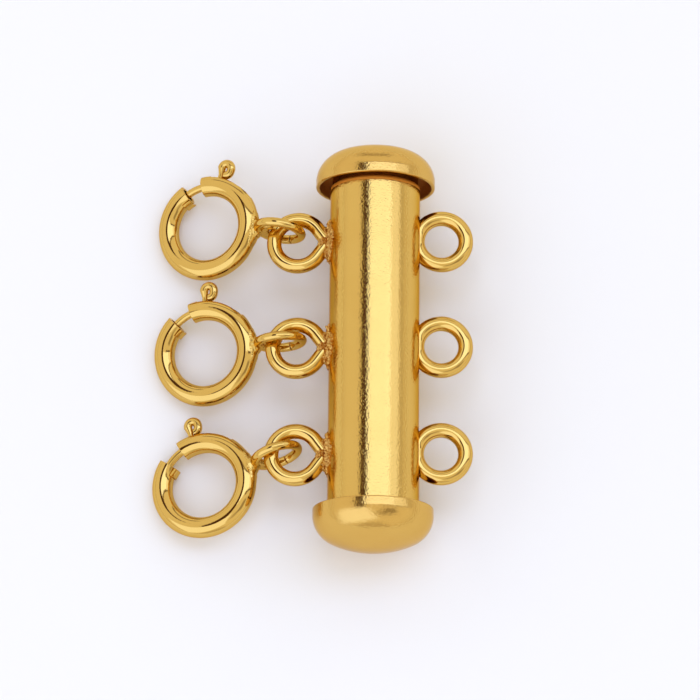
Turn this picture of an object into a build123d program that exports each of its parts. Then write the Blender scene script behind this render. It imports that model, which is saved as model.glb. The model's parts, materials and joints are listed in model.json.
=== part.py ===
from build123d import *
import os
from math import acos, asin, atan2, cos, degrees, radians, sin, sqrt

# Slide-lock tube clasp for three strands, with a bolt ring on each of its three left loops.
# An outer tube is capped at its lower end and has a slot along its right side.
# An inner tube with the other cap slides into it, and its three loops ride in the slot.
# The clasp lies on a flat surface on the rims of its caps, a little rolled towards its left side,
# and the bolt rings hang from the left loops and lean down to the surface.
# X points right across the tube, Y along it towards the cap of the inner tube, and Z up.
# All sizes are in millimetres and all angles in degrees.

# Caps: the same pressing on both tubes, open at the rim
cap_diameter = 6.25
cap_wall = 0.20
cap_band = 0.47
cap_height = 2.125
cap_knuckle = 1.35

# Outer tube and its slot
tube_diameter = 4.75
tube_wall = 0.30
tube_end_clearance = 0.44
slot_clearance = 0.06

# Inner tube
slide_clearance = 0.05
inner_wall = 0.30
inner_end_clearance = 0.50
pull_off_clearance = 0.30

# Loops of round wire: the left ones are bent to a point where they are soldered to the tube,
# the right ones are whole rings, and they and the slot stand a little lower than opposite the left ones.
# The end distance is from the first and last loops to the rims of the caps
strand_count = 3
end_distance = 2.875
loop_mid_radius = 1.27
loop_wire = 0.77
left_stand_off = 1.685
left_point_reach = 1.58
right_stand_off = 1.465
slot_turn = 6.0
left_shift = 0.06
right_shift = 0.10

# Solder pad under each left loop
pad_length = 2.00
pad_width = 1.00
pad_height = 0.55
pad_taper = 0.70

# Hollow body of a bolt ring, with its gap; angles run anticlockwise from the eye.
# The spacing is the room that the loops' pitch leaves between two bolt rings
ring_mid_radius = 2.30
ring_tube = 1.08
ring_wall = 0.18
gap_near_angle = 104.5
gap_far_angle = 129.5
ring_spacing = 0.07

# Bolt: a wire inside the body, with a curled knob outside it
bolt_wire = 0.40
bolt_entry_angle = 6.0
bolt_tail_angle = 8.0
bolt_margin_angle = 2.0
knob_angle = 83.5
knob_wire = 0.40
knob_curl = 0.26
knob_clearance = 0.08
knob_sweep = 240.0
knob_slot_clearance = 0.06
knob_slot_overrun = 18.0

# Eye: a jump ring soldered to the body, its cut turned to the underside
eye_wire = 0.48
eye_play = 0.535
eye_bite = 0.10
eye_cut_angle = -66.0
eye_cut = 0.25
flare_length = 1.50
flare_width = 0.72
flare_height = 0.34
flare_taper = 0.42

# How the clasp and the bolt rings lie
clasp_roll = 5.0
link_clearance = 0.03
lean_limit = 60.0
lean_steps = 50
# One row for each bolt ring from the top: where on the loop's circle it hangs, which way it points,
# how far it is turned about its own eye, the shares of the eye's play that it takes up and outwards,
# and how far its eye was soldered on out of true
hang_columns = ("hang_angle", "swing", "turn", "seat", "pull", "twist")
hang_rows = (
    (149.5, -8.7, 5.3, 0.68, -0.36, 9.3),
    (161.2, 4.4, 3.5, 0.24, -0.50, 3.5),
    (175.8, 20.1, -8.2, 0.05, -0.29, -0.5),
)

# Sizes that follow from those above
cap_radius = cap_diameter / 2
tube_radius = tube_diameter / 2
tube_bore = tube_radius - tube_wall
inner_radius = tube_bore - slide_clearance
inner_bore = inner_radius - inner_wall
loop_wire_radius = loop_wire / 2
slot_width = loop_wire + 2 * slot_clearance
ring_tube_radius = ring_tube / 2
ring_bore = ring_tube_radius - ring_wall
ring_outer_radius = ring_mid_radius + ring_tube_radius
loop_pitch = 2 * ring_outer_radius + ring_spacing
rim_distance = (strand_count - 1) * loop_pitch + 2 * end_distance
eye_wire_radius = eye_wire / 2
eye_mid_radius = loop_wire_radius + eye_wire_radius + eye_play
eye_reach = ring_outer_radius - eye_bite + eye_wire_radius + eye_mid_radius
bolt_tip_angle = gap_far_angle + bolt_entry_angle
bolt_travel = bolt_tip_angle - gap_near_angle + bolt_margin_angle
knob_radius = ring_outer_radius + knob_clearance + knob_curl + knob_wire / 2
slot_inner_radius = ring_mid_radius + ring_bore
stem_angle = knob_angle + degrees(asin(knob_curl / slot_inner_radius))


def crown_radius(radius, band, height, knuckle):
    """Radius of the arc over the top of a dome, tangent to its knuckle."""
    rise = height - band
    return ((radius - knuckle) ** 2 + rise**2 - knuckle**2) / (2 * (rise - knuckle))


def underside_height(radius_out):
    """Height above the rim of a cap's underside, at a distance from the cap's axis."""
    height = cap_height - cap_wall
    crown = crown_radius(cap_radius - cap_wall, cap_band, height, cap_knuckle - cap_wall)
    return height - crown + sqrt(crown**2 - radius_out**2)


def dome(radius, band, height, knuckle):
    """Solid dome on the XY plane: a straight band, a tight knuckle and a flat crown."""
    crown = crown_radius(radius, band, height, knuckle)
    turn = atan2(crown - height + band, radius - knuckle)
    over = (turn + radians(90)) / 2

    def on_knuckle(angle):
        return (radius - knuckle + knuckle * cos(angle), band + knuckle * sin(angle))

    def on_crown(angle):
        return (crown * cos(angle), height - crown + crown * sin(angle))

    outline = [
        Line((0, 0), (radius, 0)),
        Line((radius, 0), (radius, band)),
        ThreePointArc((radius, band), on_knuckle(turn / 2), on_knuckle(turn)),
        ThreePointArc(on_knuckle(turn), on_crown(over), (0, height)),
        Line((0, height), (0, 0)),
    ]
    return revolve(Plane.XZ * make_face(outline), Axis.Z, 360)


def make_cap():
    """Domed cap with its rim on the XY plane and its dome towards +Z."""
    outside = dome(cap_radius, cap_band, cap_height, cap_knuckle)
    inside = dome(cap_radius - cap_wall, cap_band, cap_height - cap_wall, cap_knuckle - cap_wall)
    return outside - inside


def rod(start, end, radius):
    """Round rod between two points."""
    way = Vector(*end) - Vector(*start)
    place = Plane(origin=start, z_dir=way)
    return place * Cylinder(radius, way.length, align=(Align.CENTER, Align.CENTER, Align.MIN))


def ring_arc(mid_radius, wire_radius, start, sweep):
    """Arc of round wire in the XY plane, anticlockwise from its start angle."""
    section = Plane.XZ * Pos(mid_radius, 0) * Circle(wire_radius)
    return Rot(Z=start) * revolve(section, Axis.Z, sweep)


def lengthwise_rod(radius, low, high):
    """Round rod along the clasp's axis between two places on it."""
    return rod((0, low, 0), (0, high, 0), radius)


def teardrop_loop(reach):
    """Loop in the XY plane about the origin, with straight legs that meet at a point along -X."""
    leg_angle = acos(loop_mid_radius / reach)
    leave = radians(180) - leg_angle
    tip = (-reach, 0, 0)
    loop = ring_arc(loop_mid_radius, loop_wire_radius, -degrees(leave), 2 * degrees(leave))
    for side in (1, -1):
        leg_start = (loop_mid_radius * cos(leave), side * loop_mid_radius * sin(leave), 0)
        loop += rod(leg_start, tip, loop_wire_radius)
    return loop + Pos(*tip) * Sphere(loop_wire_radius)


def frustum(near, far, length, width, taper):
    """Elliptical block of solder along +X, narrower at its far end."""
    faces = []
    for place, share in ((near, 1), (far, taper)):
        across_plane = Plane(origin=(place, 0, 0), x_dir=(0, 1, 0), z_dir=(1, 0, 0))
        faces.append(across_plane * Ellipse(share * length / 2, share * width / 2))
    return loft(faces)


def loop_places(shift):
    """Places of the loops along the clasp's axis, from the top."""
    middle = (strand_count - 1) / 2
    return [shift + (middle - number) * loop_pitch for number in range(strand_count)]


rim = rim_distance / 2
tube_top = rim + underside_height(tube_radius) - tube_end_clearance
tube_bottom = -rim - underside_height(tube_radius) - cap_wall / 2
inner_top = rim + underside_height(inner_radius) + cap_wall / 2
inner_bottom = -rim - underside_height(inner_radius) + inner_end_clearance
left_places = loop_places(left_shift)
right_places = loop_places(right_shift)
left_centre = -tube_radius - left_stand_off
right_centre = inner_radius + right_stand_off
pull_off = tube_top - inner_bottom + pull_off_clearance
loop_outer_radius = loop_mid_radius + loop_wire_radius
loop_half_width = sqrt(loop_outer_radius**2 - (right_centre - tube_radius) ** 2)


def make_outer_tube():
    """Outer tube, its cap, its left loops and their solder, in the clasp's own frame."""
    body = lengthwise_rod(tube_radius, tube_bottom, tube_top)
    for place in left_places:
        body += Pos(left_centre, place, 0) * Rot(Z=180) * teardrop_loop(left_point_reach)
        pad_root = tube_radius - tube_wall / 2
        pad = frustum(pad_root, tube_radius + pad_height, pad_length, pad_width, pad_taper)
        body += Pos(0, place, 0) * Rot(Z=180) * pad
    body -= lengthwise_rod(tube_bore, tube_bottom, tube_top)
    slot_bottom = right_places[-1] - loop_half_width - slot_clearance + slot_width / 2
    slot_reach = tube_radius + slot_clearance
    slot = Box(slot_reach, tube_top - slot_bottom, slot_width)
    slot = Pos(slot_reach / 2, (slot_bottom + tube_top) / 2, 0) * slot
    slot += rod((0, slot_bottom, 0), (slot_reach, slot_bottom, 0), slot_width / 2)
    body -= Rot(Y=slot_turn) * slot
    return body + Pos(0, -rim, 0) * Rot(X=90) * make_cap()


def make_slider():
    """Inner tube, its cap and its right loops, in the clasp's own frame."""
    body = lengthwise_rod(inner_radius, inner_bottom, inner_top)
    for place in right_places:
        loop = ring_arc(loop_mid_radius, loop_wire_radius, 0, 360)
        body += Rot(Y=slot_turn) * Pos(right_centre, place, 0) * loop
    body -= lengthwise_rod(inner_bore, inner_bottom, inner_top)
    return body + Pos(0, rim, 0) * Rot(X=-90) * make_cap()


def make_bolt_ring(twist):
    """Hollow ring body about the origin with its gap, its knob slot and its soldered eye along +X."""
    sweep = 360 - gap_far_angle + gap_near_angle
    body = ring_arc(ring_mid_radius, ring_tube_radius, gap_far_angle, sweep)
    flare_root = ring_outer_radius - ring_wall
    flare_end = ring_outer_radius + flare_height
    body += frustum(flare_root, flare_end, flare_length, flare_width, flare_taper)
    cut_sweep = degrees(eye_cut / eye_mid_radius)
    eye = ring_arc(eye_mid_radius, eye_wire_radius, eye_cut_angle + cut_sweep / 2, 360 - cut_sweep)
    body += Pos(eye_reach, 0, 0) * Rot(X=90 - twist) * eye
    body -= ring_arc(ring_mid_radius, ring_bore, gap_far_angle, sweep)
    half_slot = knob_wire / 2 + knob_slot_clearance
    half_slot_angle = degrees(half_slot / slot_inner_radius)
    slot_start = stem_angle - bolt_travel - knob_slot_overrun
    slot_section = Plane.XZ * Pos(ring_outer_radius, 0) * Rectangle(2 * ring_tube_radius, 2 * half_slot)
    slot_sweep = stem_angle + half_slot_angle - slot_start
    return body - Rot(Z=slot_start) * revolve(slot_section, Axis.Z, slot_sweep)


def make_bolt():
    """Bolt wire with its stem and curled knob, in the bolt ring's own frame."""
    tail = stem_angle - bolt_tail_angle
    bolt = ring_arc(ring_mid_radius, bolt_wire / 2, tail, bolt_tip_angle - tail)
    root = sqrt(ring_mid_radius**2 - knob_curl**2)
    stem = rod((root, 0, 0), (knob_radius, 0, 0), knob_wire / 2)
    # The stem is turned about its own axis, so that its seam stays clear of the seam of the wire it joins
    knob = Pos(0, knob_curl, 0) * Rot(X=90) * stem
    curl = ring_arc(knob_curl, knob_wire / 2, 90 - knob_sweep, knob_sweep)
    knob += Pos(knob_radius, 0, 0) * curl
    return bolt + Rot(Z=knob_angle) * knob


# The clasp lies on its caps, rolled about its own axis
across = Vector(cos(radians(clasp_roll)), 0, sin(radians(clasp_roll)))
along = Vector(0, 1, 0)
axis_height = Vector(0, 0, cap_radius)
clasp_place = Pos(*axis_height) * Rot(Y=-clasp_roll)


def ring_frame(loop_place, hang, lean):
    """Plane of a bolt ring in a left loop, leaning down by an angle: +X to its eye, +Z its axis."""
    swing = radians(hang["swing"])
    twist = radians(hang["twist"])
    turn = radians(hang["turn"])
    hang_angle = radians(hang["hang_angle"])
    pointing = Vector(cos(lean) * cos(swing), cos(lean) * sin(swing), sin(lean))
    level = Vector(-sin(swing), cos(swing), 0)
    upright = pointing.cross(level)
    side = level * cos(turn) + upright * sin(turn)
    normal = upright * cos(turn) - level * sin(turn)
    eye_up = normal * cos(twist) + side * sin(twist)
    loop_middle = axis_height + across * left_centre + along * loop_place
    wire_point = loop_middle + (across * cos(hang_angle) + along * sin(hang_angle)) * loop_mid_radius
    play = eye_play - link_clearance
    eye_middle = wire_point - eye_up * play * (1 - 2 * hang["seat"]) - pointing * play * hang["pull"]
    return Plane(origin=eye_middle - pointing * eye_reach, x_dir=pointing, z_dir=normal)


def height_over_floor(frame):
    """Height of the lowest point of a bolt ring's body."""
    steepness = sqrt(1 - frame.z_dir.Z**2)
    return frame.origin.Z - ring_tube_radius - ring_mid_radius * steepness


def lean_to_floor(loop_place, hang):
    """Plane of a bolt ring whose far edge rests on the surface."""
    low, high = 0.0, radians(lean_limit)
    for _ in range(lean_steps):
        middle = (low + high) / 2
        if height_over_floor(ring_frame(loop_place, hang, middle)) > 0:
            low = middle
        else:
            high = middle
    return ring_frame(loop_place, hang, low)


hangs = [dict(zip(hang_columns, row)) for row in hang_rows]
ring_planes = [lean_to_floor(place, hang) for place, hang in zip(left_places, hangs)]

nodes = {
    "outer_tube": clasp_place * make_outer_tube(),
    "slider": clasp_place * make_slider(),
}
for number, (plane, hang) in enumerate(zip(ring_planes, hangs), start=1):
    nodes[f"bolt_ring_{number}"] = plane * make_bolt_ring(hang["twist"])
    nodes[f"bolt_{number}"] = plane * make_bolt()

# The origin is under the middle of the whole part, on the surface
box = Compound(children=[node.solids()[0] for node in nodes.values()]).bounding_box()
shift = Vector(-(box.min.X + box.max.X) / 2, -(box.min.Y + box.max.Y) / 2, 0)

os.makedirs("parts", exist_ok=True)
for name, node in nodes.items():
    solids = node.solids()
    print(name, "solids", len(solids), "volume", round(node.volume, 3))
    export_step(Pos(*shift) * solids[0], f"parts/{name}.step")


def metres(point):
    """Point of the moved part in metres."""
    return [round(value / 1000, 7) for value in (point + shift)]


def direction(vector):
    """Unit vector as plain numbers."""
    return [round(value, 6) for value in vector]


box_size = [round(value, 4) for value in box.size]
print("box", box_size, "lowest", round(box.min.Z, 5), "shift", direction(shift))
print("slide axis", direction(along), "travel", round(pull_off / 1000, 5))
for number, plane in enumerate(ring_planes, start=1):
    lean = round(degrees(asin(plane.x_dir.Z)), 2)
    print("bolt", number, "centre", metres(plane.origin), "axis", direction(plane.z_dir), "lean", lean)
    print("bolt", number, "eye way", direction(plane.x_dir), "travel", round(bolt_travel, 2))
slot_rise = radians(clasp_roll - slot_turn)
slot_way = Vector(cos(slot_rise), 0, sin(slot_rise))
loop_axis = slot_way.cross(along)
for number, place in enumerate(right_places, start=1):
    middle = axis_height + slot_way * right_centre + along * place
    print("right loop", number, metres(middle), "axis", direction(loop_axis))
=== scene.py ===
# %% [markdown]
# # A tube clasp for three strands, with bolt rings
#
# The real clasp is a goldsmith's finding. An outer tube with a slot takes an inner tube, whose three wire
# loops ride in the slot, and each tube has a pressed cap. On the other side three more loops are soldered
# to the outer tube, and a bolt ring hangs in each of them. This lesson builds every piece with bmesh
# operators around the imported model, which gives the places and the moving bodies.

# %% Load the frame
import bmesh
import bpy
import json
from math import acos, asin, atan2, cos, degrees, pi, radians, sin, sqrt
from mathutils import Matrix, Vector, noise


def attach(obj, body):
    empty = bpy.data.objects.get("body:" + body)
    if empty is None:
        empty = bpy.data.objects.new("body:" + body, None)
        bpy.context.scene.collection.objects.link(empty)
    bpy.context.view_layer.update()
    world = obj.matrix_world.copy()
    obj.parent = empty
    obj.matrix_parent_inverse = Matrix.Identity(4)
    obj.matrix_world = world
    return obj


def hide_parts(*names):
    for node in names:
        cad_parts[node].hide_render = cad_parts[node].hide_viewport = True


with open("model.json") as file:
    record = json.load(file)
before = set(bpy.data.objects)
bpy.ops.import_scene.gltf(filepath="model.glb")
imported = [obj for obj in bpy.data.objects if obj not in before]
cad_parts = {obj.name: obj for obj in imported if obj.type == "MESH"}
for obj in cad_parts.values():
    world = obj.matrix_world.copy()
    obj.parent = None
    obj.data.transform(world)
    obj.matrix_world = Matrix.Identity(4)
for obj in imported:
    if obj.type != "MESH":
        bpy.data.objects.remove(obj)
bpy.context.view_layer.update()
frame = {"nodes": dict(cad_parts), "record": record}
print("frame holds", sorted(frame["nodes"]))

# %% [markdown]
# ## Sizes
#
# All sizes here are millimetres, because that is how a goldsmith measures, and each piece is drawn in
# millimetres in its own simple position. One matrix then scales it to metres and lays it where the real
# piece lies. The angles on a bolt ring run anticlockwise from its eye.

# %% Sizes of the clasp
MM = 0.001
CAP_RADIUS, CAP_WALL, CAP_BAND, CAP_HEIGHT, CAP_KNUCKLE = 3.125, 0.20, 0.47, 2.125, 1.35
RIM_PLACE = 8.625
TUBE_RADIUS, TUBE_WALL, TUBE_END_GAP = 2.375, 0.30, 0.44
INNER_GAP, INNER_WALL, INNER_END_GAP = 0.05, 0.30, 0.50
LOOP_RADIUS, LOOP_WIRE, LOOP_PITCH = 1.27, 0.385, 5.75
LEFT_STAND_OFF, LEFT_POINT_REACH, RIGHT_STAND_OFF = 1.685, 1.58, 1.465
LEFT_SHIFT, RIGHT_SHIFT = 0.06, 0.10
SLOT_GAP, SLOT_TURN = 0.06, 6.0
STRANDS = 3

# %% Sizes of the bolt rings
RING_RADIUS, RING_TUBE, RING_WALL = 2.30, 0.54, 0.18
GAP_NEAR, GAP_FAR = 104.5, 129.5
BOLT_WIRE, BOLT_ENTRY, BOLT_TAIL, BOLT_MARGIN = 0.20, 6.0, 8.0, 2.0
KNOB_ANGLE, KNOB_WIRE, KNOB_CURL, KNOB_GAP = 83.5, 0.20, 0.26, 0.08
KNOB_LEANS = (3.5, 1.3, 0.0)
KNOB_SLOT_GAP, KNOB_SLOT_OVERRUN = 0.06, 18.0
EYE_WIRE, EYE_PLAY, EYE_BITE = 0.24, 0.535, 0.10
EYE_CUT_ANGLES, EYE_CUT = (-77.0, -76.0, -78.0), 0.05
SWINGS = (-8.7, 4.4, 20.1)
EYE_TWISTS = (9.3, 3.5, -0.5)

# %% Sizes that follow
inner_radius = TUBE_RADIUS - TUBE_WALL - INNER_GAP
left_centre = -TUBE_RADIUS - LEFT_STAND_OFF
right_centre = inner_radius + RIGHT_STAND_OFF
ring_outer = RING_RADIUS + RING_TUBE
eye_radius = LOOP_WIRE + EYE_WIRE + EYE_PLAY
eye_reach = ring_outer - EYE_BITE + EYE_WIRE + eye_radius
knob_radius = ring_outer + KNOB_GAP + KNOB_CURL + KNOB_WIRE
slot_inner_radius = RING_RADIUS + RING_TUBE - RING_WALL
stem_angle = KNOB_ANGLE + degrees(asin(KNOB_CURL / slot_inner_radius))
bolt_tip = GAP_FAR + BOLT_ENTRY
bolt_travel = bolt_tip - GAP_NEAR + BOLT_MARGIN


def knuckle_centre(radius, knuckle, crease=0.0):
    """Centre of a cap's knuckle arc, which leaves the band at the crease angle."""
    return radius - knuckle * cos(crease), CAP_BAND - knuckle * sin(crease)


def crown_of(radius, height, knuckle, crease=0.0):
    """Radius of the arc over a cap's top, tangent to its knuckle."""
    out, up = knuckle_centre(radius, knuckle, crease)
    rise = height - up
    return (out**2 + rise**2 - knuckle**2) / (2 * (rise - knuckle))


def underside(distance):
    """Height of a cap's underside over its rim, at a distance from the axis."""
    height = CAP_HEIGHT - CAP_WALL
    crown = crown_of(CAP_RADIUS - CAP_WALL, height, CAP_KNUCKLE - CAP_WALL)
    return height - crown + sqrt(crown**2 - distance**2)


places = [(1 - number) * LOOP_PITCH for number in range(STRANDS)]
tube_top = RIM_PLACE + underside(TUBE_RADIUS) - TUBE_END_GAP
tube_bottom = -RIM_PLACE - underside(TUBE_RADIUS) - CAP_WALL / 2
inner_top = RIM_PLACE + underside(inner_radius) + CAP_WALL / 2
inner_bottom = -RIM_PLACE - underside(inner_radius) + INNER_END_GAP
print("outer tube from", round(tube_bottom, 2), "to", round(tube_top, 2), "mm")

# %% [markdown]
# ## Where the pieces lie
#
# The clasp is round, so it has rolled a little towards its bolt rings, and each bolt ring leans from its
# loop down to the table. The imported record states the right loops' places and axes and the bolt rings'
# centres and axes, so the placing matrices are built from it and nothing is fitted by eye. The left loops
# stand a few degrees off the opposite of the slot. A bolt ring also needs the way its eye points, which
# is its swing about the vertical, kept square to its axis.

# %% Placing matrices
mounts = {mount["name"]: mount for mount in frame["record"]["mounts"]}
TO_METRES = Matrix.Scale(MM, 4)


def axes_matrix(origin, x_way, y_way, z_way):
    """Matrix that lays a piece's own axes on three directions at an origin in metres."""
    turned = Matrix((x_way, y_way, z_way)).transposed().to_4x4()
    return Matrix.Translation(origin) @ turned @ TO_METRES


loop_mount = mounts["right_loop_middle"]
loop_axis = Vector(loop_mount["axis"])
along = Vector((0, 1, 0))
slot_way = along.cross(loop_axis)
clasp_origin = Vector(loop_mount["pos_m"]) - MM * (slot_way * right_centre + along * RIGHT_SHIFT)
SLOT = axes_matrix(clasp_origin, slot_way, along, loop_axis)
CLASP = SLOT @ Matrix.Rotation(radians(-SLOT_TURN), 4, "Y")


def ring_matrix(name, swing):
    """Placing matrix of a bolt ring: +X to its eye, +Z along its axis."""
    axis = Vector(mounts[name]["axis"])
    heading = Vector((cos(radians(swing)), sin(radians(swing)), 0))
    lift = -(axis.x * heading.x + axis.y * heading.y) / axis.z
    pointing = Vector((heading.x, heading.y, lift)).normalized()
    return axes_matrix(Vector(mounts[name]["pos_m"]), pointing, axis.cross(pointing), axis)


ring_names = ["bolt_ring_top", "bolt_ring_middle", "bolt_ring_bottom"]
RINGS = [ring_matrix(name, swing) for name, swing in zip(ring_names, SWINGS)]
print("clasp axis at", [round(v, 5) for v in clasp_origin])
print("slot rises", round(degrees(asin(slot_way.z)), 2), "degrees")

# %% [markdown]
# ## The first step of a finish: adding nodes
#
# A finish is a small network of shader nodes. One function adds a node, sets what is given and links what
# is a socket. Colours are written as the sRGB hex values that a picture shows, and one function turns them
# into the linear light that the shader works in.

# %% Shader helpers
def add(tree, kind, inputs=None, **settings):
    """Adds a node with its settings, its input values and its links."""
    node = tree.nodes.new(kind)
    for name, value in settings.items():
        setattr(node, name, value)
    for socket, value in (inputs or {}).items():
        if isinstance(value, bpy.types.NodeSocket):
            tree.links.new(value, node.inputs[socket])
        else:
            node.inputs[socket].default_value = value
    return node


def linear(hex_colour):
    """sRGB hex colour as linear red, green, blue and alpha."""
    shares = [int(hex_colour[i : i + 2], 16) / 255 for i in (1, 3, 5)]
    return (*[s / 12.92 if s <= 0.04045 else ((s + 0.055) / 1.055) ** 2.4 for s in shares], 1.0)


def per_mm(size_mm):
    """Scale of a pattern whose features are that many millimetres across."""
    return 1 / (size_mm * MM)


# %% [markdown]
# ## Gold plate
#
# Every piece is silver under a few microns of yellow gold, so they share a colour and differ only in how
# they were finished. Metal has no colour of its own under its reflections, so the base colour is the
# reflection itself: high in red, lower in green, low in blue. Roughness sets how soft the reflections
# are, and a fine grain in the surface breaks their edges up, as on satin-polished metal. The colour
# wanders a little, as plating does. Towards the edges of every round piece, where the metal is seen
# aslant, the specular tint draws it to the deep orange of gold. The hollows are as pressed, duller. The
# collar and shoulder of the turned tube end are the exception: their deep orange is a painted reflection
# of the gold inside the upper cap, on a matt surface.

# %% Gold finishes
def gold_plate(
    name, colours, roughness, grain_mm, grain_depth_mm, dent_mm=1.0, dent_depth_mm=0.0, cloud_mm=1.6
):
    """Gold plate: its colour, deep colour and edge colour, a roughness, a fine grain and slow dents."""
    colour, deep_colour, edge_colour = colours
    material = bpy.data.materials.new(name)
    material.use_nodes = True
    tree = material.node_tree
    tree.nodes.clear()
    place = add(tree, "ShaderNodeTexCoord").outputs["Object"]
    cloud = add(tree, "ShaderNodeTexNoise", {"Vector": place, "Scale": per_mm(cloud_mm), "Detail": 3.0})
    grain = add(tree, "ShaderNodeTexNoise", {"Vector": place, "Scale": per_mm(grain_mm), "Detail": 2.0})
    dent = add(tree, "ShaderNodeTexNoise", {"Vector": place, "Scale": per_mm(dent_mm), "Detail": 1.0})
    tint = add(
        tree,
        "ShaderNodeMix",
        {0: cloud.outputs["Fac"], 6: linear(deep_colour), 7: linear(colour)},
        data_type="RGBA",
    )
    rough = add(
        tree,
        "ShaderNodeMapRange",
        {"Value": grain.outputs["Fac"], "To Min": roughness * 0.85, "To Max": roughness * 1.15},
    )
    slow = add(tree, "ShaderNodeBump", {"Height": dent.outputs["Fac"], "Distance": dent_depth_mm * MM})
    fine = add(
        tree,
        "ShaderNodeBump",
        {"Height": grain.outputs["Fac"], "Distance": grain_depth_mm * MM, "Normal": slow.outputs["Normal"]},
    )
    surface = add(
        tree,
        "ShaderNodeBsdfPrincipled",
        {
            "Base Color": tint.outputs[2],
            "Metallic": 1.0,
            "Roughness": rough.outputs["Result"],
            "Normal": fine.outputs["Normal"],
            "Specular Tint": linear(edge_colour),
        },
    )
    add(tree, "ShaderNodeOutputMaterial", {"Surface": surface.outputs["BSDF"]})
    return material


tube_finish = gold_plate(
    "gold_plate_satin_polished", ("#DDB55F", "#D8AE58", "#EECB98"), 0.12, 0.11, 0.0115
)
cap_finish = gold_plate(
    "gold_plate_soft_satin", ("#DCB35E", "#D5A754", "#F8ECD0"), 0.16, 0.12, 0.0130
)
hollow_finish = gold_plate(
    "gold_plate_in_the_hollows", ("#DDB888", "#D2A670", "#E0B870"), 0.42, 0.16, 0.0060
)
# Collar and shoulder of the turned end: matt, with a deep orange that is a painted reflection of the gold
# inside the upper cap
turned_end_painted_reflection = gold_plate(
    "gold_plate_turned_end_painted_reflection", ("#FFB248", "#F6A43A", "#F0C080"), 0.60, 0.10, 0.0060
)
wire_finish = gold_plate(
    "gold_plate_bright_wire", ("#DEB761", "#D8AE57", "#EED2A0"), 0.06, 0.15, 0.0012, 0.9, 0.014
)
ring_finish = gold_plate(
    "gold_plate_bright_ring", ("#DEB761", "#D8AE57", "#F0D8AC"), 0.07, 0.15, 0.0014, 1.2, 0.012
)
solder_finish = gold_plate(
    "gold_plate_over_solder", ("#EDC470", "#AA6A18", "#E8C080"), 0.20, 0.10, 0.0140, cloud_mm=0.20
)
print("finishes:", [m.name for m in bpy.data.materials])

# %% [markdown]
# ## Drawing with wire
#
# Most of this clasp is round wire or tube. In bmesh a wire is a circle of edges that is carried along:
# turned about an axis with spin, or pushed straight on with an extrusion. Each helper returns the last
# circle, so a bent wire is one call after another, just as it is bent at the bench.

# %% Wire helpers
def edges_in(geometry):
    return [g for g in geometry if isinstance(g, bmesh.types.BMEdge)]


def verts_in(geometry):
    return [g for g in geometry if isinstance(g, bmesh.types.BMVert)]


def circle_at(bm, centre, facing, radius, sides, first_angle=0.0):
    """A circle of edges round a point, facing along a direction."""
    turned = Vector(facing).to_track_quat("Z", "Y").to_matrix().to_4x4()
    matrix = Matrix.Translation(centre) @ turned @ Matrix.Rotation(first_angle, 4, "Z")
    made = bmesh.ops.create_circle(bm, cap_ends=False, radius=radius, segments=sides, matrix=matrix)
    verts = made["verts"]
    return verts + list({edge for vert in verts for edge in vert.link_edges})


def turn(bm, geometry, centre, axis, angle, steps):
    """Carries points and edges round an axis, anticlockwise, and returns the last ones."""
    return bmesh.ops.spin(
        bm,
        geom=geometry,
        cent=centre,
        axis=axis,
        dvec=(0, 0, 0),
        angle=angle,
        steps=steps,
        use_merge=False,
        use_normal_flip=False,
        use_duplicate=False,
    )["geom_last"]


def push(bm, geometry, way, steps=1):
    """Pushes a circle of edges straight on and returns the last one."""
    for _ in range(steps):
        pushed = bmesh.ops.extrude_edge_only(bm, edges=edges_in(geometry))["geom"]
        bmesh.ops.translate(bm, verts=verts_in(pushed), vec=Vector(way) / steps)
        geometry = verts_in(pushed) + edges_in(pushed)
    return geometry


def close(bm, geometry):
    """Closes the end of a wire with one face."""
    bmesh.ops.contextual_create(bm, geom=edges_in(geometry))


# %% [markdown]
# Every piece ends in the same way. Points that met are welded, the faces are turned outwards, and one
# matrix scales the mesh to metres and lays it in place, so that the object itself stays at the origin. A
# wall gets its thickness from a Solidify modifier, and a small Bevel catches the light on its edges,
# as the polishing wheel leaves them.

# %% Finishing a piece
WELD = 0.0005


def finish_piece(
    bm, name, matrix, body, material, wall=0.0, edge=0.0, replaces=None, second=None, sharp=40
):
    """Turns a bmesh into a placed, dressed object that rides on its body."""
    bmesh.ops.remove_doubles(bm, verts=bm.verts, dist=WELD)
    bmesh.ops.recalc_face_normals(bm, faces=bm.faces)
    bmesh.ops.transform(bm, matrix=matrix, verts=bm.verts)
    mesh = bpy.data.meshes.new(name)
    bm.to_mesh(mesh)
    bm.free()
    mesh.polygons.foreach_set("use_smooth", [True] * len(mesh.polygons))
    mesh.set_sharp_from_angle(angle=radians(sharp))
    mesh.materials.append(material)
    if second:
        mesh.materials.append(second)
    piece = bpy.data.objects.new(name, mesh)
    bpy.context.scene.collection.objects.link(piece)
    if wall:
        solidify = piece.modifiers.new("wall", "SOLIDIFY")
        solidify.thickness = wall * MM
        solidify.offset = -1
    if edge:
        bevel = piece.modifiers.new("polished edges", "BEVEL")
        bevel.width = edge * MM
        bevel.segments = 3
        bevel.limit_method = "ANGLE"
        bevel.angle_limit = radians(40)
        bevel.harden_normals = True
    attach(piece, body)
    if replaces:
        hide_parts(replaces)
    print(name, "faces", len(mesh.polygons))
    return piece


# %% [markdown]
# ## The caps
#
# Both caps are pressed from sheet in the same die: a short straight band at the rim, a tight knuckle and
# a flat crown. The section of the metal is drawn with a single point that is pushed up the band and spun
# round the two arc centres, outside and inside. The die leaves a fine crease between band and knuckle.
# Spinning that section about the axis gives the cap with its true wall, so the thin rim and the dark
# hollow under it are real.

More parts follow.
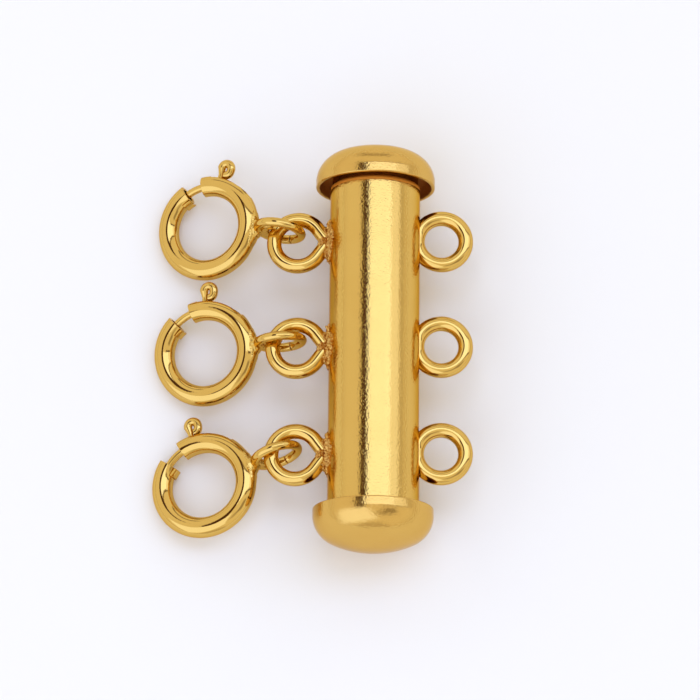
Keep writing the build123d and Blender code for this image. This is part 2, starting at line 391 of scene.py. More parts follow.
# %% Caps
CAP_CREASE, CREASED_KNUCKLE = radians(5), 1.52
UPPER_CAP_LIFT, LOWER_CAP_HEIGHT = 0.08, CAP_HEIGHT + 0.09
KNUCKLE_STEPS, CROWN_STEPS, CAP_STEPS = 26, 10, 128
# The shading breaks at the crease, which is a little sharper than this angle in degrees
CAP_SHARP = 4.3
CAP_EDGE = 0.065


def cap_side(bm, radius, height, knuckle, crease):
    """Draws one side of a cap's section, from the rim to the axis, and returns both its ends."""
    crown = crown_of(radius, height, knuckle, crease)
    out, up = knuckle_centre(radius, knuckle, crease)
    bend = atan2(up - height + crown, out)
    first = bmesh.ops.create_vert(bm, co=(radius, 0, 0))["vert"]
    band_edge = bmesh.ops.create_vert(bm, co=(radius, 0, CAP_BAND))["vert"]
    bmesh.ops.contextual_create(bm, geom=first + band_edge)
    to_crown = turn(bm, band_edge, (out, 0, up), (0, -1, 0), bend - crease, KNUCKLE_STEPS)
    crown_centre = (0, 0, height - crown)
    last = turn(bm, verts_in(to_crown), crown_centre, (0, -1, 0), pi / 2 - bend, CROWN_STEPS)
    return first[0], verts_in(last)[0]


def make_cap(name, matrix, body, height):
    """A pressed cap with its rim on the XY plane and its dome towards +Z."""
    bm = bmesh.new()
    rim_out, _ = cap_side(bm, CAP_RADIUS, height, CREASED_KNUCKLE, CAP_CREASE)
    rim_in, _ = cap_side(bm, CAP_RADIUS - CAP_WALL, height - CAP_WALL, CAP_KNUCKLE - CAP_WALL, 0)
    bmesh.ops.contextual_create(bm, geom=[rim_out, rim_in])
    section = list(bm.verts) + list(bm.edges)
    bmesh.ops.spin(
        bm,
        geom=section,
        cent=(0, 0, 0),
        axis=(0, 0, 1),
        angle=2 * pi,
        steps=CAP_STEPS,
        use_merge=True,
    )
    bmesh.ops.recalc_face_normals(bm, faces=bm.faces)
    for face in bm.faces:
        outwards = face.normal.dot(face.calc_center_median() - Vector((0, 0, CAP_BAND)))
        face.material_index = 1 if outwards < -0.5 else 0
    return finish_piece(
        bm, name, matrix, body, cap_finish, edge=CAP_EDGE, second=hollow_finish, sharp=CAP_SHARP
    )


lower_place = Matrix.Translation((0, -RIM_PLACE, 0)) @ Matrix.Rotation(pi / 2, 4, "X")
upper_rim = RIM_PLACE + UPPER_CAP_LIFT
upper_place = Matrix.Translation((0, upper_rim, 0)) @ Matrix.Rotation(-pi / 2, 4, "X")
make_cap("lower_cap", SLOT @ lower_place, "clasp", LOWER_CAP_HEIGHT)
make_cap("upper_cap", SLOT @ upper_place, "slide", CAP_HEIGHT)

# %% [markdown]
# ## The outer tube
#
# The real tube is drawn, and its slot is milled from the open end. Here it is made like a paper model: a
# flat sheet as wide as the tube's girth, with the slot taken out of it, is rolled up. The columns of the
# sheet stand closer at the slot, and the row under it is moved onto a half circle, so the slot's end is
# round. A Solidify modifier then gives the sheet its wall, inwards.

# %% Outer tube
MOUTH_BELOW_RIM = 0.11
TUBE_MOUTH = RIM_PLACE - MOUTH_BELOW_RIM
SLOT_COLUMNS = 8
WIDE_COLUMNS = 112
slot_half = LOOP_WIRE + SLOT_GAP
loop_half_width = sqrt((LOOP_RADIUS + LOOP_WIRE) ** 2 - (right_centre - TUBE_RADIUS) ** 2)
lowest_loop = places[-1] + RIGHT_SHIFT
slot_end = lowest_loop - loop_half_width - SLOT_GAP + slot_half
girth = 2 * pi * TUBE_RADIUS


def rolled(x, y):
    """A point of the flat sheet on the rolled tube, whose slot faces +X."""
    angle = x / TUBE_RADIUS
    return Vector((TUBE_RADIUS * cos(angle), y, TUBE_RADIUS * sin(angle)))


def make_outer_tube():
    """Flat sheet with a round-ended slot, rolled into a tube."""
    bm = bmesh.new()
    across_slot = [-slot_half * cos(pi * column / SLOT_COLUMNS) for column in range(SLOT_COLUMNS + 1)]
    column_width = (girth - 2 * slot_half) / WIDE_COLUMNS
    beyond = [slot_half + column_width * (column + 1) for column in range(WIDE_COLUMNS)]
    row = [bmesh.ops.create_vert(bm, co=(x, tube_bottom, 0))["vert"][0] for x in across_slot + beyond]
    for left, right in zip(row, row[1:]):
        bmesh.ops.contextual_create(bm, geom=[left, right])
    bottom = row + list(bm.edges)
    shoulder = push(bm, bottom, (0, slot_end - 2 * slot_half - tube_bottom, 0), 3)
    level = push(bm, shoulder, (0, 2 * slot_half, 0))
    for vert in verts_in(level):
        if abs(vert.co.x) < slot_half:
            vert.co.y -= sqrt(slot_half**2 - vert.co.x**2)
    walls = [edge for edge in edges_in(level) if min(v.co.x for v in edge.verts) > slot_half - WELD]
    ends = list({vert for edge in walls for vert in edge.verts})
    push(bm, ends + walls, (0, TUBE_MOUTH - slot_end, 0), 4)
    for vert in bm.verts:
        vert.co = rolled(vert.co.x, vert.co.y)
    return finish_piece(
        bm, "outer_tube_shell", SLOT, "clasp", tube_finish, TUBE_WALL, 0.03, "outer_tube"
    )


make_outer_tube()

# %% [markdown]
# The tube's end is turned on the lathe where it goes into the upper cap: a short matt collar, a rounded
# shoulder that shows under the rim as a fine arc, and a thinner neck. Collar and shoulder are painted deep
# orange, a painted reflection of the gold inside the cap. All leave the slot free: collar and neck are an
# arc of edges pushed along the tube, and the shoulder is a small circle spun round it.

# %% Collar, shoulder and neck of the outer tube
COLLAR_LENGTH, COLLAR_STEP, COLLAR_OVERLAP, END_BEAD = 0.11, 0.012, 0.06, 0.15
NECK_STEP, NECK_OVERLAP = 0.10, 0.26
# The sleeves' inner sides stay a little outside the bore
COLLAR_WALL, NECK_WALL = TUBE_WALL - 0.04, TUBE_WALL - NECK_STEP - 0.01
shoulder_place = TUBE_MOUTH + COLLAR_LENGTH
round_the_slot = 2 * pi - 2 * slot_half / TUBE_RADIUS
to_slot_edge = Matrix.Rotation(-slot_half / TUBE_RADIUS, 3, "Y")


def make_sleeve(name, finish, radius, low, high, wall):
    """Thin sleeve of the outer tube, open at the slot."""
    bm = bmesh.new()
    first = bmesh.ops.create_vert(bm, co=(radius, low, 0))["vert"]
    bmesh.ops.rotate(bm, verts=first, cent=(0, 0, 0), matrix=to_slot_edge)
    turn(bm, first, (0, 0, 0), (0, -1, 0), round_the_slot, WIDE_COLUMNS)
    push(bm, list(bm.verts) + list(bm.edges), (0, high - low, 0), 2)
    return finish_piece(bm, name, SLOT, "clasp", finish, wall, 0.01)


def make_shoulder():
    """Rounded end of the thick part of the outer tube."""
    bm = bmesh.new()
    centre = (collar_radius - END_BEAD, shoulder_place, 0)
    start = circle_at(bm, centre, (0, 0, 1), END_BEAD, 24)
    bmesh.ops.rotate(bm, verts=verts_in(start), cent=(0, 0, 0), matrix=to_slot_edge)
    end = turn(bm, start, (0, 0, 0), (0, -1, 0), round_the_slot, WIDE_COLUMNS)
    close(bm, start)
    close(bm, end)
    return finish_piece(bm, "outer_tube_shoulder", SLOT, "clasp", turned_end_painted_reflection)


collar_radius, neck_radius = TUBE_RADIUS - COLLAR_STEP, TUBE_RADIUS - NECK_STEP
collar_low, neck_low = TUBE_MOUTH - COLLAR_OVERLAP, TUBE_MOUTH - NECK_OVERLAP
make_sleeve("outer_tube_collar", turned_end_painted_reflection, collar_radius, collar_low, shoulder_place, COLLAR_WALL)
make_shoulder()
make_sleeve("outer_tube_neck", tube_finish, neck_radius, neck_low, tube_top, NECK_WALL)

# %% [markdown]
# ## The inner tube
#
# It shows only through the slot and when the clasp is open. A circle pushed along the axis makes the
# outside, and the same Solidify and Bevel as on the outer tube make its wall and its soft edge.

# %% Inner tube
def make_inner_tube():
    """Plain tube that slides inside the outer one."""
    bm = bmesh.new()
    start = circle_at(bm, (0, inner_bottom, 0), (0, 1, 0), inner_radius, 96)
    push(bm, start, (0, inner_top - inner_bottom, 0), 4)
    return finish_piece(
        bm, "inner_tube", SLOT, "slide", tube_finish, INNER_WALL, 0.05, "slider"
    )


make_inner_tube()

# %% [markdown]
# ## The loops
#
# Each left loop is one piece of round wire, bent round a mandrel until its two legs meet where it is
# soldered on. The circle of wire is spun round the loop's centre, and both ends are pushed straight on to
# the point where the legs meet. A right loop is a whole ring, soldered to the inner tube through the slot.

# %% Loops
WIRE_SIDES = 32
LOOP_STEPS = 80


def make_left_loop(name, place):
    """Teardrop loop of wire whose legs meet beside the outer tube."""
    bm = bmesh.new()
    leg_angle = acos(LOOP_RADIUS / LEFT_POINT_REACH)
    leave = pi - leg_angle
    leg_length = LEFT_POINT_REACH * sin(leg_angle)
    start_point = Vector((LOOP_RADIUS * cos(-leave), LOOP_RADIUS * sin(-leave), 0))
    start_way = Vector((-sin(-leave), cos(-leave), 0))
    start = circle_at(bm, start_point, start_way, LOOP_WIRE, WIRE_SIDES)
    end = turn(bm, start, (0, 0, 0), (0, 0, 1), 2 * leave, LOOP_STEPS)
    first_leg = push(bm, start, -start_way * leg_length)
    end_way = Vector((-sin(leave), cos(leave), 0))
    second_leg = push(bm, end, end_way * leg_length)
    close(bm, first_leg)
    close(bm, second_leg)
    matrix = CLASP @ Matrix.Translation((left_centre, place, 0)) @ Matrix.Rotation(pi, 4, "Z")
    return finish_piece(bm, name, matrix, "clasp", wire_finish)


def make_right_loop(name, place):
    """Whole ring of wire on the inner tube."""
    bm = bmesh.new()
    start = circle_at(bm, (LOOP_RADIUS, 0, 0), (0, 1, 0), LOOP_WIRE, WIRE_SIDES)
    turn(bm, start, (0, 0, 0), (0, 0, 1), 2 * pi, LOOP_STEPS)
    matrix = SLOT @ Matrix.Translation((right_centre, place, 0))
    return finish_piece(bm, name, matrix, "slide", wire_finish)


for number, place in enumerate(places, start=1):
    make_left_loop(f"left_loop_{number}", place + LEFT_SHIFT)
    make_right_loop(f"right_loop_{number}", place + RIGHT_SHIFT)

# %% [markdown]
# ## Solder
#
# Where the loops are soldered on, the solder has flowed out in a rough, grainy skin with a thicker fillet
# round the wire. Small balls are scattered on the tube, larger towards the wire, and a voxel Remesh
# melts them together as the torch does. The remeshing is done in millimetres, because its finest voxel
# would be too coarse in metres, and a little noise then roughens the skin.

# %% Melting balls of solder
VOXEL = 0.028


def melt(balls, grain, grain_size):
    """One rough skin over many balls, each a centre and its radii, as a new bmesh in millimetres."""
    bm = bmesh.new()
    for centre, radii in balls:
        matrix = Matrix.Translation(centre) @ Matrix.Diagonal((*radii, 1))
        bmesh.ops.create_icosphere(bm, subdivisions=2, radius=1, matrix=matrix)
    mesh = bpy.data.meshes.new("melting")
    bm.to_mesh(mesh)
    bm.free()
    lump = bpy.data.objects.new("melting", mesh)
    bpy.context.scene.collection.objects.link(lump)
    remesh = lump.modifiers.new("melt", "REMESH")
    remesh.mode = "VOXEL"
    remesh.voxel_size = VOXEL
    smooth = lump.modifiers.new("settle", "SMOOTH")
    smooth.factor = 0.5
    smooth.iterations = 3
    melted = bpy.data.meshes.new_from_object(lump.evaluated_get(bpy.context.evaluated_depsgraph_get()))
    bpy.data.objects.remove(lump)
    bm = bmesh.new()
    bm.from_mesh(melted)
    bpy.data.meshes.remove(melted)
    bm.normal_update()
    for vert in bm.verts:
        vert.co += vert.normal * grain * noise.noise(vert.co / grain_size)
    return bm


# %% Solder pads under the left loops
PAD_HALF_LENGTH, PAD_HALF_ANGLE = 0.98, 26.0
PAD_ROWS, PAD_COLUMNS, PAD_EDGE = 15, 13, 1.08
# Each ball is shaken out of its row by a share, and its radius varies and grows towards the middle
PAD_SHAKE, PAD_BALL, PAD_VARIATION, PAD_SWELL, PAD_SINK = 0.14, 0.135, 0.07, 0.11, 0.03
PAD_GRAIN, PAD_GRAIN_SIZE = 0.140, 0.10
# Fillet round the foot of the wire: distance from the tube's axis, place along it, and three radii
PAD_FOOT = (
    (2.52, 0.00, 0.40, 0.52, 0.50),
    (2.46, 0.50, 0.32, 0.38, 0.46),
    (2.46, -0.50, 0.32, 0.38, 0.46),
    (2.74, 0.12, 0.26, 0.20, 0.44),
    (2.74, -0.12, 0.26, 0.20, 0.44),
)


def make_pad(name, place, seed):
    """Grainy solder on the tube round the foot of one left loop."""
    balls = []
    for row in range(PAD_ROWS):
        for column in range(PAD_COLUMNS):
            share_y = 2 * row / (PAD_ROWS - 1) - 1
            share_a = 2 * column / (PAD_COLUMNS - 1) - 1
            spread = sqrt(share_y**2 + share_a**2)
            if spread > PAD_EDGE:
                continue
            shake = noise.noise_vector((row * 1.7 + seed, column * 2.3, seed * 3.1))
            y = (share_y + PAD_SHAKE * shake.x) * PAD_HALF_LENGTH
            angle = radians((share_a + PAD_SHAKE * shake.y) * PAD_HALF_ANGLE)
            size = PAD_BALL + PAD_VARIATION * shake.z + PAD_SWELL * max(0, 1 - spread)
            out = TUBE_RADIUS - PAD_SINK
            balls.append(((-out * cos(angle), y, out * sin(angle)), (size, size, size)))
    for out, y, deep, wide, high in PAD_FOOT:
        balls.append(((-out, y, 0), (deep, wide, high)))
    bm = melt(balls, PAD_GRAIN, PAD_GRAIN_SIZE)
    matrix = CLASP @ Matrix.Translation((0, place, 0))
    return finish_piece(bm, name, matrix, "clasp", solder_finish)


for number, place in enumerate(places, start=1):
    make_pad(f"solder_pad_{number}", place + LEFT_SHIFT, number)

# %% [markdown]
# ## The bolt rings
#
# A bolt ring's body is a tube bent into a ring, with a gap for the strand's end and a slot on its outer
# side for the knob. The section circle has its points where the slot's edges run, so that the slot is
# made by spinning in three stages and deleting the faces between its ends. The same wall and soft edges
# as on the clasp's tubes leave the cut ends of the body open and hollow.

# %% Bolt ring bodies
RING_SIDES = 50
RING_STEPS = (110, 22, 6)
slot_side = KNOB_WIRE + KNOB_SLOT_GAP
slot_side_angle = degrees(slot_side / slot_inner_radius)
knob_slot_low = stem_angle - bolt_travel - KNOB_SLOT_OVERRUN
knob_slot_high = stem_angle + slot_side_angle


def in_knob_slot(face):
    """True for a face of the ring body that the knob's slot takes away."""
    centre = face.calc_center_median()
    angle = degrees(atan2(centre.y, centre.x))
    outside = centre.xy.length > RING_RADIUS
    return outside and abs(centre.z) < slot_side and knob_slot_low < angle < knob_slot_high


def make_ring_body(number, matrix):
    """Hollow ring of tube with its gap and its knob slot."""
    bm = bmesh.new()
    far = radians(GAP_FAR)
    start = circle_at(
        bm,
        (RING_RADIUS * cos(far), RING_RADIUS * sin(far), 0),
        (-sin(far), cos(far), 0),
        RING_TUBE,
        RING_SIDES,
    )
    stages = (knob_slot_low + 360 - GAP_FAR, knob_slot_high - knob_slot_low, GAP_NEAR - knob_slot_high)
    for sweep, steps in zip(stages, RING_STEPS):
        start = turn(bm, start, (0, 0, 0), (0, 0, 1), radians(sweep), steps)
    bmesh.ops.delete(bm, geom=[face for face in bm.faces if in_knob_slot(face)], context="FACES")
    return finish_piece(
        bm,
        f"ring_body_{number}",
        matrix,
        "clasp",
        ring_finish,
        RING_WALL,
        0.02,
        f"bolt_ring_{number}",
    )


for number, matrix in enumerate(RINGS, start=1):
    make_ring_body(number, matrix)

# %% [markdown]
# The sheet of the body is bent in a little at the far side of the gap, on the inside of the ring, as a
# stop for the bolt. It is an arc of the section, spun a short way, whose points are drawn inwards more
# and more towards the gap.

# %% Stops
STOP_SWEEP, STOP_HALF_ANGLE, STOP_LIFT, STOP_PLAY, STOP_WALL = 15.0, 42.0, 0.07, 0.01, 0.10


def make_stop(number, matrix):
    """Bent-in tab of the ring body beside its gap."""
    bm = bmesh.new()
    first = bmesh.ops.create_vert(bm, co=(RING_RADIUS - RING_TUBE - STOP_PLAY, 0, 0))["vert"]
    centre = (RING_RADIUS, 0, 0)
    to_side = Matrix.Rotation(radians(-STOP_HALF_ANGLE), 3, "Y")
    bmesh.ops.rotate(bm, verts=first, cent=centre, matrix=to_side)
    turn(bm, first, centre, (0, 1, 0), radians(2 * STOP_HALF_ANGLE), 14)
    to_gap = Matrix.Rotation(radians(GAP_FAR), 3, "Z")
    bmesh.ops.rotate(bm, verts=bm.verts, cent=(0, 0, 0), matrix=to_gap)
    section = list(bm.verts) + list(bm.edges)
    turn(bm, section, (0, 0, 0), (0, 0, 1), radians(STOP_SWEEP), 10)
    for vert in bm.verts:
        share = 1 - (degrees(atan2(vert.co.y, vert.co.x)) - GAP_FAR) / STOP_SWEEP
        vert.co -= Vector((vert.co.x, vert.co.y, 0)).normalized() * STOP_LIFT * share
    return finish_piece(
        bm, f"ring_stop_{number}", matrix, "clasp", ring_finish, STOP_WALL, 0.02
    )


for number, matrix in enumerate(RINGS, start=1):
    make_stop(number, matrix)

# %% [markdown]
# ## The eyes
#
# The eye is a jump ring, a ring of wire with a cut. It is soldered edge on to the body, a little twisted,
# with its cut turned down, and the solder has drawn out into a smooth flare on the body.

# %% Eyes and their solder
def make_eye(number, matrix, twist, cut_angle):
    """Jump ring through the loop of the clasp, with its open cut."""
    bm = bmesh.new()
    half_cut = EYE_CUT / eye_radius / 2
    begin = radians(cut_angle) + half_cut
    start = circle_at(
        bm,
        (eye_radius * cos(begin), eye_radius * sin(begin), 0),
        (-sin(begin), cos(begin), 0),
        EYE_WIRE,
        WIRE_SIDES,
    )
    end = turn(bm, start, (0, 0, 0), (0, 0, 1), 2 * pi - 2 * half_cut, LOOP_STEPS)
    close(bm, start)
    close(bm, end)
    upright = Matrix.Rotation(radians(90 - twist), 4, "X")
    place = matrix @ Matrix.Translation((eye_reach, 0, 0)) @ upright
    return finish_piece(bm, f"ring_eye_{number}", place, "clasp", wire_finish, edge=0.03)


FLARE_HALF_ANGLE, FLARE_STEPS, FLARE_SINK, FLARE_LIFT = 19.0, 7, 0.22, 0.05
# Radii of a ball at the flare's ends, and how much larger they are in its middle
FLARE_END, FLARE_SWELL = Vector((0.25, 0.22, 0.38)), Vector((0.05, 0.0, 0.12))
# Neck of the solder between body and eye: distance from the ring's centre and three radii
FLARE_NECK = (
    (2.66, 0.34, 0.66, 0.50),
    (2.80, 0.28, 0.52, 0.46),
    (2.94, 0.24, 0.38, 0.42),
    (3.04, 0.20, 0.28, 0.36),
)
# Web of solder in the near end of each eye: angles on the eye, and at each of them the distance from
# the eye's centre and the radius
WEB_ANGLES = (
    (-45, -30, -15, 0, 15, 30, 45),
    (-39, -26, -13, 0, 13, 26, 39),
    (-58, -45, -30, -15, 0, 15, 30),
)
WEB_PLACES = (
    (0.98, 0.98, 0.95, 0.88, 0.80, 0.74, 0.72),
    (1.11, 1.11, 1.11, 1.11, 1.11, 1.11, 1.11),
    (0.86, 0.86, 0.87, 0.92, 0.98, 1.05, 1.11),
)
WEB_RADII = (
    (0.20, 0.20, 0.24, 0.26, 0.28, 0.31, 0.34),
    (0.25, 0.25, 0.25, 0.25, 0.25, 0.25, 0.25),
    (0.28, 0.28, 0.28, 0.26, 0.25, 0.25, 0.25),
)
WEB_THICK = 0.20
FLARE_GRAIN, FLARE_GRAIN_SIZE = 0.022, 0.26


def make_flare(number, matrix, twist):
    """Solder that has drawn out between the body and the near end of the eye."""
    balls = []
    for side in range(-FLARE_STEPS, FLARE_STEPS + 1):
        angle = radians(side * FLARE_HALF_ANGLE / FLARE_STEPS)
        share = 1 - abs(side) / FLARE_STEPS
        out = ring_outer - FLARE_SINK + FLARE_LIFT * share
        balls.append(((out * cos(angle), out * sin(angle), 0), FLARE_END + FLARE_SWELL * share))
    for out, deep, wide, high in FLARE_NECK:
        balls.append(((out, 0, 0), (deep, wide, high)))
    upright = Matrix.Translation((eye_reach, 0, 0)) @ Matrix.Rotation(radians(90 - twist), 4, "X")
    web = zip(WEB_ANGLES[number - 1], WEB_PLACES[number - 1], WEB_RADII[number - 1])
    for angle, out, size in web:
        around = Vector((-cos(radians(angle)), sin(radians(angle)), 0))
        balls.append((upright @ (around * out), (size, WEB_THICK, size)))
    bm = melt(balls, FLARE_GRAIN, FLARE_GRAIN_SIZE)
    return finish_piece(bm, f"eye_solder_{number}", matrix, "clasp", ring_finish)


for number, (matrix, twist, cut_angle) in enumerate(zip(RINGS, EYE_TWISTS, EYE_CUT_ANGLES), start=1):
    make_eye(number, matrix, twist, cut_angle)
    make_flare(number, matrix, twist)

# %% [markdown]
# ## The bolts
#
# The bolt is a wire that a spring inside the body pushes across the gap. Its knob is the end of a wire
# that comes out through the slot and is curled over, so that a fingernail can draw the bolt back.

# %% Bolts
BOLT_STEPS = 30


def make_bolt(number, matrix):
    """Bolt wire across the gap, inside the body at both ends."""
    bm = bmesh.new()
    tail = radians(stem_angle - BOLT_TAIL)
    start = circle_at(
        bm,
        (RING_RADIUS * cos(tail), RING_RADIUS * sin(tail), 0),
        (-sin(tail), cos(tail), 0),
        BOLT_WIRE,
        WIRE_SIDES,
    )
    end = turn(bm, start, (0, 0, 0), (0, 0, 1), radians(bolt_tip) - tail, BOLT_STEPS)
    close(bm, start)
    close(bm, end)
    return finish_piece(
        bm,
        f"bolt_wire_{number}",
        matrix,
        f"spring_bolt_{number}",
        wire_finish,
        edge=0.06,
        replaces=f"bolt_{number}",
    )


CURL_RADIUS, CURL_WIRE, CURL_DROP, CURL_TUCK, CURL_SINK = 0.272, 0.222, 0.09, 88.0, 0.05
CURL_STEPS, TUCK_STEPS = 40, 20
STEM_WIRE, STEM_SWELL, SWELL_STEPS = 0.145, 0.40, 8


def make_knob(number, matrix, lean):
    """Thin stem and curl of the knob, one bent wire whose end is tucked in under the curl."""
    bm = bmesh.new()
    root = sqrt(RING_RADIUS**2 - KNOB_CURL**2)
    top = knob_radius - CURL_SINK
    stem_side = CURL_RADIUS - CURL_WIRE + STEM_WIRE
    start = circle_at(bm, (root, stem_side, 0), (1, 0, 0), STEM_WIRE, WIRE_SIDES)
    bend = push(bm, start, (top - STEM_SWELL - root, 0, 0), 2)
    growth = (CURL_WIRE / STEM_WIRE) ** (1 / SWELL_STEPS)
    inner_side = Matrix.Translation((0, STEM_WIRE - stem_side, 0))
    for _ in range(SWELL_STEPS):
        bend = push(bm, bend, (STEM_SWELL / SWELL_STEPS, 0, 0))
        bmesh.ops.scale(bm, vec=(1, growth, growth), space=inner_side, verts=verts_in(bend))
    over = turn(bm, bend, (top, 0, 0), (0, 0, -1), pi, CURL_STEPS)
    down = push(bm, over, (-CURL_DROP, 0, 0))
    end = turn(bm, down, (top - CURL_DROP, 0, 0), (0, 0, -1), radians(CURL_TUCK), TUCK_STEPS)
    close(bm, start)
    close(bm, end)
    place = matrix @ Matrix.Rotation(radians(KNOB_ANGLE - lean), 4, "Z")
    return finish_piece(
        bm, f"bolt_knob_{number}", place, f"spring_bolt_{number}", wire_finish, edge=0.05
    )


for number, (matrix, lean) in enumerate(zip(RINGS, KNOB_LEANS), start=1):
    make_bolt(number, matrix)
    make_knob(number, matrix, lean)

# %% [markdown]
# ## The table, the light and the camera
#
# Bright metal shows its surroundings, so the light is most of the look. The clasp lies on white card in a
# pale tent. A large soft box overhead makes the broad bright band down the tube, a weaker one beside it
# carries the light round to the right, and a third in front on the left lights the end of the lower
# cap. Dark gaps between tent and boxes draw the narrow brown line down the tube and the fine dark lines
# on the bright wire.

# %% Floor
CARD_HALF_WIDTH, FIBRE_MM, FIBRE_DEPTH_MM = 2.0, 0.4, 0.004


def make_floor():
    """White card under the clasp."""
    bm = bmesh.new()
    bmesh.ops.create_grid(bm, x_segments=2, y_segments=2, size=CARD_HALF_WIDTH)
    mesh = bpy.data.meshes.new("white_card")
    bm.to_mesh(mesh)
    bm.free()
    floor = bpy.data.objects.new("white_card", mesh)
    bpy.context.scene.collection.objects.link(floor)
    material = bpy.data.materials.new("matt_white_card")
    material.use_nodes = True
    tree = material.node_tree
    tree.nodes.clear()
    place = add(tree, "ShaderNodeTexCoord").outputs["Object"]
    fibre = add(tree, "ShaderNodeTexNoise", {"Vector": place, "Scale": per_mm(FIBRE_MM), "Detail": 2.0})
    soft = add(tree, "ShaderNodeBump", {"Height": fibre.outputs["Fac"], "Distance": FIBRE_DEPTH_MM * MM})
    surface = add(
        tree,
        "ShaderNodeBsdfPrincipled",
        {"Base Color": linear("#FBF7EA"), "Roughness": 0.8, "Normal": soft.outputs["Normal"]},
    )
    add(tree, "ShaderNodeOutputMaterial", {"Surface": surface.outputs["BSDF"]})
    mesh.materials.append(material)
    return floor


make_floor()


# %% Light
TENT_COLOUR, GAP_COLOUR = (0.985, 0.965, 0.950, 1.0), (0.10, 0.050, 0.022, 1.0)
# Each gap between the lights: from and to, in degrees from the vertical towards +X, and in height along Y,
# how much of the light it takes, and how soft its edges are
GAPS = (
    (-34.0, -16.0, -0.12, 0.50, 1.0, 1.0),  # left of the overhead box: the brown line on the tube
    (-34.0, 64.0, 0.445, 0.50, 0.8, 1.0),  # beyond the two boxes
    (14.0, 64.0, 0.03, 0.08, 1.0, 1.0),  # this side of them
    (-60.0, 50.0, 0.86, 0.92, 0.75, 1.0),  # far behind, over the upper cap
    (67.0, 77.0, 0.05, 0.50, 0.35, 1.0),  # right of the side box
    (8.0, 30.0, -0.62, -0.36, 0.40, 5.0),  # beside the front box: soft shades on the lower cap
    (22.0, 46.0, -0.48, -0.14, 0.60, 4.0),
    (-180.0, 180.0, -1.10, -0.93, 0.30, 1.0),  # low in front
    (86.0, 200.0, -2.0, 2.0, 0.28, 12.0),  # low on the right
    (-200.0, -86.0, -2.0, 2.0, 0.28, 12.0),  # low on the left
)
EDGE_ANGLE, EDGE_Y = 1.2, 0.015


def make_tent():
    """Even light of the pale tent, with dark gaps beside the soft boxes."""
    world = bpy.data.worlds.new("pale_tent")
    bpy.context.scene.world = world
    world.use_nodes = True
    tree = world.node_tree
    tree.nodes.clear()
    way = add(tree, "ShaderNodeTexCoord").outputs["Generated"]
    parts = add(tree, "ShaderNodeSeparateXYZ", {"Vector": way}).outputs
    angle = add(tree, "ShaderNodeMath", {0: parts["X"], 1: parts["Z"]}, operation="ARCTAN2").outputs[0]

    def step(value, place, edge):
        """Soft step from 0 to 1 at a place."""
        inputs = {"Value": value, "From Min": place - edge, "From Max": place + edge}
        return add(tree, "ShaderNodeMapRange", inputs, interpolation_type="SMOOTHSTEP").outputs[0]

    def both(first, second, operation="MULTIPLY"):
        """Two values put together."""
        return add(tree, "ShaderNodeMath", {0: first, 1: second}, operation=operation).outputs[0]

    colour = TENT_COLOUR
    for low, high, near, far, share, soft in GAPS:
        edge, edge_y = soft * radians(EDGE_ANGLE), soft * EDGE_Y
        sideways = both(step(angle, radians(low), edge), step(angle, radians(high), edge), "SUBTRACT")
        lengthwise = both(step(parts["Y"], near, edge_y), step(parts["Y"], far, edge_y), "SUBTRACT")
        mask = both(both(sideways, lengthwise), share)
        mixed = add(tree, "ShaderNodeMix", {0: mask, 6: colour, 7: GAP_COLOUR}, data_type="RGBA")
        colour = mixed.outputs[2]
    light = add(tree, "ShaderNodeBackground", {"Color": colour})
    add(tree, "ShaderNodeOutputWorld", {"Surface": light.outputs[0]})


def soft_box(name, angle, lean, distance, width, length, radiance, colour):
    """Rectangular lamp: its angle from the vertical towards +X and its lean towards +Y, in degrees."""
    level = cos(radians(lean))
    way = Vector((sin(radians(angle)) * level, sin(radians(lean)), cos(radians(angle)) * level))
    lamp = bpy.data.lights.new(name, "AREA")
    lamp.shape = "RECTANGLE"
    lamp.size = width
    lamp.size_y = length
    lamp.energy = radiance * pi * width * length
    lamp.color = colour
    holder = bpy.data.objects.new(name, lamp)
    bpy.context.scene.collection.objects.link(holder)
    side = along.cross(way).normalized()
    facing = Matrix((side, way.cross(side), way)).transposed().to_4x4()
    holder.matrix_world = Matrix.Translation(clasp_origin + way * distance) @ facing
    return holder


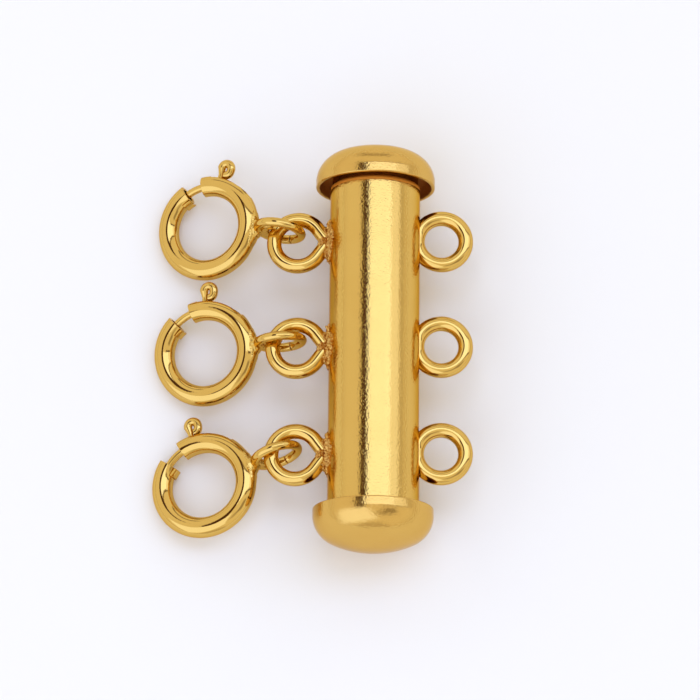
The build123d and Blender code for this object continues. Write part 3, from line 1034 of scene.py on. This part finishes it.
COOL_LIGHT = (0.55, 0.80, 1.68)
make_tent()
soft_box("main_soft_box", 11.2, 15.9, 0.55, 0.565, 0.209, 1.17, COOL_LIGHT)
soft_box("side_soft_box", 50.5, 15.9, 0.55, 0.270, 0.209, 0.56, COOL_LIGHT)
soft_box("front_soft_box", -38.0, -36.0, 0.50, 0.62, 0.50, 0.67, COOL_LIGHT)

# %% [markdown]
# The camera looks down steeply from the lower end of the tube with a long lens, as a catalogue picture is
# taken. It stands where the perspective of the tube says, and it is aimed a little left of the tube, so
# that the whole clasp sits in the frame as in the picture.

# %% Camera
CAMERA_ELEVATION, CAMERA_DISTANCE, CAMERA_ROLL = 74.0, 200.0, -0.45
PIXELS_PER_MM, IMAGE_PIXELS, SENSOR = 19.2, 700, 36.0
TUBE_PIXEL_X, TUBE_PIXEL_Y = 374.3, 348.2


def make_camera():
    """Long lens over the front of the clasp."""
    steep = radians(CAMERA_ELEVATION)
    roll = radians(CAMERA_ROLL)
    back = Vector((0, -cos(steep), sin(steep)))
    level = Vector((1, 0, 0))
    up = Vector((0, sin(steep), cos(steep)))
    right = level * cos(roll) - up * sin(roll)
    head = level * sin(roll) + up * cos(roll)
    half = IMAGE_PIXELS / 2
    aim = right * (half - TUBE_PIXEL_X) / PIXELS_PER_MM + head * (TUBE_PIXEL_Y - half) / PIXELS_PER_MM
    eye = clasp_origin + back * CAMERA_DISTANCE * MM
    look_back = (eye - clasp_origin - aim * MM).normalized()
    side = head.cross(look_back).normalized()
    lens = bpy.data.cameras.new("long_lens")
    lens.sensor_width = SENSOR
    lens.lens = PIXELS_PER_MM * CAMERA_DISTANCE / IMAGE_PIXELS * SENSOR
    lens.clip_start = 0.01
    lens.clip_end = 10
    camera = bpy.data.objects.new("catalogue_camera", lens)
    bpy.context.scene.collection.objects.link(camera)
    turned = Matrix((side, look_back.cross(side), look_back)).transposed().to_4x4()
    camera.matrix_world = Matrix.Translation(eye) @ turned
    bpy.context.scene.camera = camera
    print("lens", round(lens.lens, 1), "mm")


make_camera()
bpy.context.scene.view_settings.view_transform = "Standard"
